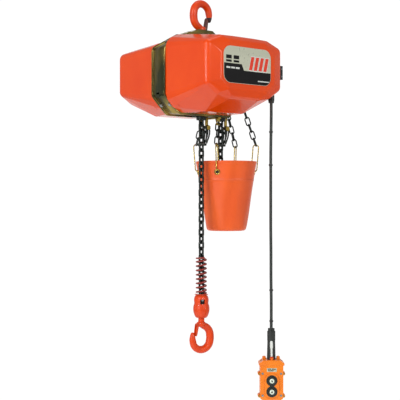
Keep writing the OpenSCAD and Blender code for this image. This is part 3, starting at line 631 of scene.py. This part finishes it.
def band():
    """The channel round the unit, cut for the chains below, the hook above and a slot in front."""
    bar = loft([band_ring(x, d) for x, d in web], closed=True)
    bmesh.ops.transform(bar, matrix=SHIFT, verts=bar.verts)
    chain_gap = prism(block(-20.3, 20.3, -20.3, 92.3), -330, -293)
    hook_gap = lathe([(21, -110), (21, -60)])
    front_slot = prism(block(-11, 11, -175, -140), -262, -257)
    return carve(bar, chain_gap, hook_gap, front_slot)


piece("band", band(), "hoist_body", "frame_zinc", ["frame_band"])
plate = [(24, -186), (24, -262), (4, -262), (4, -212), (7, -202), (13, -195), (19, -190)]
piece("band_plate", prism(plate[::-1], 144.2, 146.4, 0.6), "hoist_body", "frame_zinc",
      place=SHIFT @ turn(90, "X"))

# ---------------------------------------------------------------- hooks
# The middle line of the forging as (y, z, radius), from the neck round the bowl to the tip
hook_path = [(0, -72, 9.3), (0, -66, 9.5), (-5, -60, 10), (-13, -56, 10.6), (-20.5, -50.5, 11),
             (-26.8, -41, 11.3), (-29, -30, 11.5), (-29, -18, 11.5), (-25.1, -3.5, 11.4), (-14.5, 7.1, 11.2),
             (0, 11, 11), (14.5, 7.1, 10.6), (25.1, -3.5, 10.2), (29, -18, 9.6), (29.4, -27, 8.2),
             (29.6, -34, 6.4), (29.8, -38.6, 4.4), (29.9, -40.6, 2.2)]
hook_line = smooth_points([(0, y, z) for y, z, r in hook_path], 4)
hook_radii = [v.x for v in smooth_points([(r, 0, 0) for y, z, r in hook_path], 4)]
TIP_POINTS = 13


def hook(shank_end):
    body = sweep(hook_line, hook_radii, 28, up=(1, 0, 0))
    collar = lathe([(0, -55.6), (9, -55.8), (11.6, -57), (12.6, -58.8), (12.6, -67), (11.6, -69.2),
                    (9, -70.2), (9, shank_end), (0, shank_end)], 48)
    ear = arc_points([(-6, -69.4), (13, -69.4), (17, -62), (13, -56.4), (-6, -56.4)], 2.2, 4)
    return join(body, collar, (prism(ear, -3.4, 3.4, 0.9), UPRIGHT))


def latch():
    """A pressed channel with two ears on the pin, tapering to a rounded nose."""
    rows = []
    for along, half, deep in ((-3.4, 5.4, 3.2), (-1.8, 6.6, 4.6), (2, 6.9, 5), (8, 6.9, 4.8), (18, 6.6, 4.4),
                              (27, 6.3, 4.0), (31, 5.8, 3.2), (32.8, 4.6, 2.2), (33.4, 3.4, 1.4)):
        outer = [(-half, -deep), (-half, 0.9), (1 - half, 1.9), (half - 1, 1.9), (half, 0.9), (half, -deep)]
        inner = [(half - 1.6, -deep), (half - 1.6, 0.2), (1.6 - half, 0.2), (1.6 - half, -deep)]
        rows.append([Vector((x, -z, along)) for x, z in outer + inner])
    half_pin = [(2, 6.7), (3.1, 6.9), (3.1, 8), (0, 8)]
    pin = lathe([(r, -x) for r, x in half_pin[::-1]] + half_pin, 24)
    lean = turn(-math.degrees(math.atan2(6.2, 32)), "X")
    return join((loft(rows), lean), (pin, turn(90, "Y")))


BOTTOM_HOOK = turn(-10, "Z") @ move(0, 0, -HEADROOM) @ turn(180, "X")
AT_PIN = move(*LATCH_PIN)
piece("top_hook_forging", hook(-100), "top_hook", "hook_orange", ["top_hook"], angle=60)
piece("bottom_hook_forging", hook(-104), "bottom_hook", "hook_orange", ["bottom_hook"], angle=60,
      place=BOTTOM_HOOK)
piece("top_latch_channel", latch(), "top_latch", "latch_dark", ["top_latch", "top_latch_pin"], place=AT_PIN)
piece("bottom_latch_channel", latch(), "bottom_latch", "hook_orange", ["bottom_latch", "bottom_latch_pin"],
      place=BOTTOM_HOOK @ AT_PIN)
tip_radii = [r + 0.15 for r in hook_radii[-TIP_POINTS:]]
piece("top_hook_tip", sweep(hook_line[-TIP_POINTS:], tip_radii, 28, up=(1, 0, 0)), "top_hook", "latch_dark",
      finish="tip_black", angle=60)


# ---------------------------------------------------------------- load chain
def link():
    """One long link in the plane of X and Z."""
    points = []
    for end in (1, -1):
        for k in range(13):
            a = PI * k / 12 + (0 if end > 0 else PI)
            points.append(Vector((LINK_BEND * math.cos(a), 0, 5.8 * end + LINK_BEND * math.sin(a))))
    return sweep(points, CHAIN_WIRE, closed=True, up=(0, 1, 0))


def chain(numbers):
    """Links by number, counted up from the load pin; the even ones stand across."""
    return join(*[(link(), move(0, 0, LINK_ZERO + PITCH * k) @ turn(90 if k % 2 == 0 else 0, "Z"))
                  for k in numbers])


run = piece("load_chain_run", chain(range(TAIL_LINKS, TOP_LINK + 1)), None, "chain_black", ["load_chain"],
            angle=60)
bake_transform(run)
piece("load_chain_tail", chain(range(TAIL_LINKS)), "hook_block", "chain_black", ["load_chain_end"], angle=60)


# ---------------------------------------------------------------- spring and hook block
def spring():
    """A coil spring whose end turns lie almost flat."""
    turns, steps, flat = 9, 28, 0.07
    coil = []
    for i in range(turns * steps + 1):
        a = 2 * PI * i / steps
        t = i / (turns * steps)
        rise = max(0.0, min(1.0, (t - flat) / 0.86)) + 0.03 * (min(t, flat) + max(0.0, t - 1 + flat)) / flat
        coil.append(Vector((14.2 * math.cos(a), 14.2 * math.sin(a), -829.6 + 97 * rise)))
    return sweep(coil, 2.5)


def seam(a, z):
    """A groove where the two halves of the block meet."""
    return -1.0 if abs(math.sin(a)) > 0.9995 and BLOCK_LOW + 1 < z < BLOCK_TOP - 0.6 else 0


def hook_block():
    body = lathe([(0, BLOCK_TOP), (11, BLOCK_TOP), (15.6, -835.2), (18.4, -837.4), (20.4, -841.5),
                  (21.4, -846.5), (21.5, -851), (21, -855), (20.6, -858), (21.4, -861.4), (22.9, -866),
                  (23.8, -871.5), (23.9, -877.5), (23.1, -884), (21.2, -890.5), (18.9, -896), (16.6, -899.6),
                  (14, BLOCK_LOW), (0, BLOCK_LOW)], 120, wave=seam)
    window = prism(arc_points(block(-7, 7, -7, 7), 2.4, 4), 12, 32)
    return carve(body, (window, WINDOW), lathe([(9.6, -905), (9.6, -880)]))


WINDOW = turn(BLOCK_YAW, "Z") @ move(0, 0, -853.5) @ turn(90, "Y")
piece("buffer_coil", spring(), "hook_block", "spring_red", ["buffer_spring"], angle=60)
piece("hook_block_body", hook_block(), "hook_block", "hook_orange", ["block_half_left", "block_half_right"],
      angle=32)
# Painted shade: a dark sheet at the floor of the shallow window stands in for the shade inside the hole
window_shade_sheet = prism(arc_points(block(-7.2, 7.2, -7.2, 7.2), 2.4, 4), 11.6, 12.3)
piece("hook_block_window_shade", join((window_shade_sheet, WINDOW)), "hook_block", "black_iron", finish="painted_hole_shade")
wing = prism(arc_points(block(-20, 20, -4, 4), 3.2, 4), BLOCK_TOP, -832.2, 0.6)
washer = lathe([(9.5, BLOCK_TOP), (17, BLOCK_TOP), (17.4, -833.6), (17, -832.4), (9.5, -832.4)], 48,
               closed=True)
piece("spring_seat", join((wing, turn(38, "Z")), washer), "hook_block", "hook_orange")


# ---------------------------------------------------------------- bucket
def sag(a, z):
    """The slight wave of the cloth."""
    h = (z - BUCKET_BASE) / BUCKET_HIGH
    return (0.9 * math.sin(3 * a + 0.6) * h + 0.6 * math.sin(7 * a + 9 * h) * (1 - h)
            + 0.35 * math.sin(11 * a - 5 * h))


def wall(z):
    return BASE_R + (RIM_R - BASE_R) * (z - BUCKET_BASE) / BUCKET_HIGH


def bucket():
    """Outside from the base to the hem, with a sewn band, and back down inside."""
    profile = [(0, -650), (34, -650.4), (48, -650.8), (53.5, -650), (57.4, -647.4), (59.4, -643),
               (60.3, -639)]
    profile += [(wall(z) - 0.2, z) for z in range(-633, -504, 6)]
    profile += [(wall(-502), -502), (wall(-501) + 0.7, -501), (wall(-500) + 0.7, -500),
                (wall(-499.2), -499.2)]
    profile += [(wall(z) - 0.2, z) for z in range(-494, -452, 6)]
    profile += [(wall(-450), -450), (wall(-449) + 0.7, -449), (wall(-446), -446.4),
                (wall(-445) - 0.4, -444.6), (wall(-445) - 1.5, -444), (wall(-446) - 2.4, -444.8)]
    profile += [(wall(z) - 2.6, z) for z in range(-450, -636, -12)]
    profile += [(56, -643), (50, -647), (0, -647)]
    return lathe(profile, 144, wave=sag)


piece("bucket_skin", bucket(), "hoist_body", "bucket_vinyl", ["chain_bucket"], angle=60,
      place=move(*BUCKET_AT, 0))
eyelets, holes = [], []
for dx, dy in ((46, -78), (-46, -78), (46, 78), (-46, 78)):
    out = Vector((dx, dy, 0)).normalized()
    at = Vector((*BUCKET_AT, EYELET_Z)) + out * (wall(EYELET_Z) + 0.2)
    spot = move(*at) @ toward(out + Vector((0, 0, -0.19)))
    eyelets.append((lathe([(4.4, -3.4), (8.6, -3.2), (8.9, 0.3), (8.2, 1.1), (6.4, 1.6), (4.9, 1.1),
                           (4.4, 0.2)], 40, closed=True), spot))
    holes.append((lathe([(0, -0.6), (4.6, -0.6), (4.6, -0.2), (0, -0.2)], 24), spot))
piece("bucket_eyelets", join(*eyelets), "hoist_body", "gold_zinc", angle=50)
# Painted shade: the dark discs inside the eyelets stand in for the shade through the holes
piece("eyelet_hole_shades", join(*holes), "hoist_body", "black_iron", finish="painted_hole_shade")


# ---------------------------------------------------------------- name plate, plain shapes instead of wording
def on_plate(name, outlines, high, finish, low=LABEL_FACE):
    """Thin shapes on the face of the name plate."""
    piece(name, join(*[prism(q, low, high) for q in outlines]), "hoist_body", "label_silver", finish=finish,
          place=SHIFT @ UPRIGHT)


name_plate = arc_points(block(-91, 83, -243, -143), 24, 10)
piece("name_plate", prism(name_plate, 214.2, LABEL_FACE, 0.5, only_high=True), "hoist_body",
      "label_silver", ["label_plate"], place=SHIFT @ UPRIGHT)
low_field = arc_points([(-90.2, -242.2), (82.2, -242.2), (82.2, -207), (-18, -207), (-26, -190),
                        (-90.2, -190)], [23, 23, 0.6, 0.6, 0.6, 0.6], 8)
BARS = range(0, 55, 18)
small_bars = [block(y, y + 14, -204, -199.5) for y in (-82, -65, -48)] + [block(34, 76, -233.4, -230.6)]
small_blocks = [block(y, y + 20, low, high) for low, high in ((-187, -181), (-178, -168)) for y in (-83, -56)]
on_plate("plate_black", [low_field], 216.3, "label_black", low=216.1)
on_plate("plate_white", small_bars, 216.4, "white_sleeve")
on_plate("plate_bar_rims", [slant(y - 1.6, y + 13.6, -206.4, -165, 9.6) for y in BARS], 216.35,
         "white_sleeve")
on_plate("plate_bars", [slant(y, y + 12, -204, -167, 9) for y in BARS], 216.42, "label_red")
on_plate("plate_marks", small_blocks, 216.35, "label_black")


# ---------------------------------------------------------------- limit levers
def lever():
    """Two open side loops and a neck on the pivot, with a ring round the chain."""
    route = [(20, -341.5), (25.6, -347), (28.2, -357), (27.4, -367), (24, -377), (19.6, -386), (16.6, -393),
             (13.6, -391), (14.8, -381), (16.6, -370), (15.8, -359), (13.8, -350), (15.4, -343.4)]
    loops = [sweep([Vector((x, y, z)) for y, z in route], 2.3, closed=True, up=(1, 0, 0))
             for x in (-4.4, 4.4)]
    ring = lathe([(13.7, -400.4), (14.6, -401), (15.4, -400), (15.6, -396), (14.8, -394.6),
                  (13.7, -394.6)], 56, closed=True)
    neck = prism(arc_points([(15.6, -366), (24.5, -362), (25.5, -354), (16.4, -356)], 1.2, 3), -2.6, 2.6, 0.6)
    return join(ring, (neck, UPRIGHT), *loops)


piece("upper_lever_fork", lever(), "upper_limit_lever", "black_iron", ["upper_limit_lever"], angle=50)
piece("lower_lever_fork", lever(), "lower_limit_lever", "black_iron", ["lower_limit_lever"], angle=50,
      place=move(0, SLACK_Y, 0))

# ---------------------------------------------------------------- pendant
# FRONT takes a drawing of (sideways, height) and its thickness towards the person who holds the pendant
PENDANT = move(*PENDANT_AT, 0) @ turn(PENDANT_YAW, "Z")
FRONT = PENDANT @ turn(90, "X")
SEAM = 0.35
case = arc_points(block(-CASE_HALF, CASE_HALF, CASE_LOW, -1018), 7, 8)
flange = arc_points([(-36, -1026), (36, -1026), (36, -1020), (24, -1011), (-24, -1011), (-36, -1020)], 2, 4)


def on_bosses(make):
    return [(make(), FRONT @ move(x, z, 0)) for x, z in BOSSES]


def pendant_piece(name, parts, slot, hides=(), body="hoist_body", **more):
    """A piece whose parts are drawn on the front of the pendant."""
    placed = [p if isinstance(p, tuple) else (p, FRONT) for p in parts]
    piece(name, join(*placed), body, slot, hides, **more)


front = [prism(case, SEAM, CASE_DEEP, 5, 5, only_high=True),
         prism(flange, SEAM, 24.5, 2.2, 4, only_high=True),
         prism(block(-3, 3, -1012, -1005), 13.6, 18.8, 0.8)]
front += on_bosses(lambda: lathe([(0, 0.4), (4.8, 0.4), (4.8, 13), (3.9, 14.4), (0, 14.4)], 24))
pendant_piece("pendant_front_shell", front, "pendant_yellow", ["pendant_front"], angle=40)
back = [prism(case, -CASE_DEEP, -SEAM, 4, 4), prism(flange, -24.5, -SEAM, 2, 4)]
for x in (-20, 20):
    ear = [(x - 5.5, -1013), (x + 5.5, -1013), (x + 4.6, -1003), (x - 4.6, -1003)]
    back.append(prism(arc_points(ear, 2.6, 4), -14, -2, 0.6))
back += on_bosses(lambda: lathe([(0, -14), (3.9, -14), (4.8, -12.6), (4.8, -SEAM), (0, -SEAM)], 24))
pendant_piece("pendant_back_shell", back, "pendant_yellow", ["pendant_back"], angle=40)
pendant_piece("pendant_seam", [prism(arc_points(block(-31.8, 31.8, -1122.3, -1012), 7, 6), -0.6, 0.6)],
              "cord_rubber")


def screw():
    head = lathe([(0, 14.2), (3.3, 14.2), (3.2, 15.4), (2.2, 16.2), (0, 16.3)], 24)
    return carve(head, prism(block(-4, 4, -0.45, 0.45), 15.4, 18))


pendant_piece("pendant_screws", on_bosses(screw), "gold_zinc", angle=50)
guard = prism(arc_points(block(-20, 20, -1117, -1048), 19, 10), 22.6, 26.4, 1.6, 4, only_high=True)
guard_holes = [(lathe([(12.3, 15), (12.3, 40)], 48), move(0, z, 0)) for _, z, _ in BUTTONS]
pendant_piece("pendant_guard", [carve(guard, *guard_holes)], "pendant_yellow", ["button_guard"], angle=40)
bezel = [(lathe([(12.3, 23), (15.6, 23), (15.6, 27), (14.8, 27.8), (12.3, 27.8)], 48, closed=True),
          FRONT @ move(0, z, 0)) for _, z, _ in BUTTONS]
bezel.append(prism(block(-6, 6, -1087, -1079), 23, 27.2))
pendant_piece("pendant_bezel", bezel, "cord_rubber", angle=40)
badge = arc_points(block(-14, 14, -1043, -1032.6), 1.4, 3)
badge_marks = [block(-11, -2, -1036.6, -1034.4), block(0, 11, -1036.6, -1034.4),
               block(-11, 5, -1041, -1038.8)]
pendant_piece("pendant_badge", [prism(badge, 22.9, 23.5, 0.2, only_high=True)], "label_silver")
pendant_piece("pendant_badge_marks", [prism(q, 23.4, 23.62) for q in badge_marks], "label_silver",
              finish="label_black")
for name, z, way in BUTTONS:
    dome = lathe([(0, 20), (11.8, 20), (12, 27.4), (12, 29.4), (11, 30.5), (9.8, 29.7), (8.6, 29.6),
                  (7.8, 30.8), (7, 31.2), (0, 31.2)], 56)
    cap = lathe([(0, 30.6), (6.5, 30.6), (6.6, 32), (6.0, 32.8), (4.6, 33.2), (0, 33.3)], 40)
    arrow_head = [(-3.4, z - 0.6 * way), (3.4, z - 0.6 * way), (0, z + 3.8 * way)]
    shaft = [(-1.1, z - 0.4 * way), (-1.1, z - 3.8 * way), (1.1, z - 3.8 * way), (1.1, z - 0.4 * way)]
    arrow = [prism(q[::way], 33.1, 33.42) for q in (arrow_head, shaft)]
    here = FRONT @ move(0, z, 0)
    pendant_piece(name + "_boot", [(dome, here)], "cord_rubber", [name], angle=50, body=name)
    pendant_piece(name + "_cap", [(cap, here)], "button_cap", angle=50, body=name)
    pendant_piece(name + "_arrow", arrow, "button_cap", finish="label_black", body=name)
ring_line = [Vector((4.2 * math.cos(k * PI / 12), 0, 4.2 * math.sin(k * PI / 12))) for k in range(24)]
wire_hook = sweep(ring_line, 1.4, 10, closed=True, up=(0, 1, 0))
pendant_piece("pendant_wire_hook", [(wire_hook, PENDANT @ move(0, -17, -1006.4) @ turn(20, "Z"))],
              "hook_orange", angle=60)


# ---------------------------------------------------------------- studio
def studio_sky():
    """White behind the hoist as the camera sees it, greyer round about, above and below."""
    world = bpy.data.worlds.new("studio")
    bpy.context.scene.world = world
    world.use_nodes = True
    tree = world.node_tree
    sky = tree.nodes.new("ShaderNodeTexCoord").outputs["Generated"]
    split = tree.nodes.new("ShaderNodeSeparateXYZ")
    tree.links.new(sky, split.inputs[0])
    height = maths(tree, "ABSOLUTE", split.outputs["Z"])
    across = tree.nodes.new("ShaderNodeVectorMath")
    across.operation = "DOT_PRODUCT"
    across.inputs[1].default_value = (-0.766, 0.643, 0)
    tree.links.new(sky, across.inputs[0])
    level = maths(tree, "MULTIPLY", ramp(tree, height, 0.24, 0.6, 1.0, 0.6),
                 ramp(tree, across.outputs["Value"], 0.74, 0.93, 0.5, 1.05))
    background = tree.nodes["Background"]
    background.inputs["Color"].default_value = (1, 1, 1, 1)
    tree.links.new(level, background.inputs["Strength"])


def area(name, place, size, size_y, power):
    """A soft lamp aimed at the middle of the hoist."""
    data = bpy.data.lights.new(name, "AREA")
    data.shape = "RECTANGLE"
    data.size, data.size_y = size, size_y
    data.energy = power
    lamp = bpy.data.objects.new(name, data)
    lamp.location = place
    lamp.rotation_euler = (Vector((0, 0, -0.45)) - Vector(place)).to_track_quat("-Z", "Y").to_euler()
    bpy.context.scene.collection.objects.link(lamp)


studio_sky()
area("key", (0.9, -3.0, 1.3), 1.0, 1.0, 30)
area("side", (3.2, -0.6, 0.9), 0.9, 0.9, 26)
area("strip_left", (0.1, -2.9, -0.2), 0.03, 1.9, 20)
area("strip_front", (1.0, -2.7, -0.2), 0.03, 1.9, 16)
area("strip_right", (2.9, 0.9, 0.0), 0.1, 1.7, 12)
area("top", (0.3, 0.2, 2.6), 1.6, 1.6, 14)

disc = bmesh.new()
bmesh.ops.create_circle(disc, cap_ends=True, segments=96, radius=1.6)
floor = piece("floor", disc, None, "black_plastic", finish="floor_pale", scale=1)
floor.location = (0, 0, FLOOR_Z)
floor_shader = M["floor_pale"].node_tree.nodes["Principled BSDF"]
floor_shader.inputs["Emission Color"].default_value = (1, 1, 1, 1)
floor_shader.inputs["Emission Strength"].default_value = 0.3
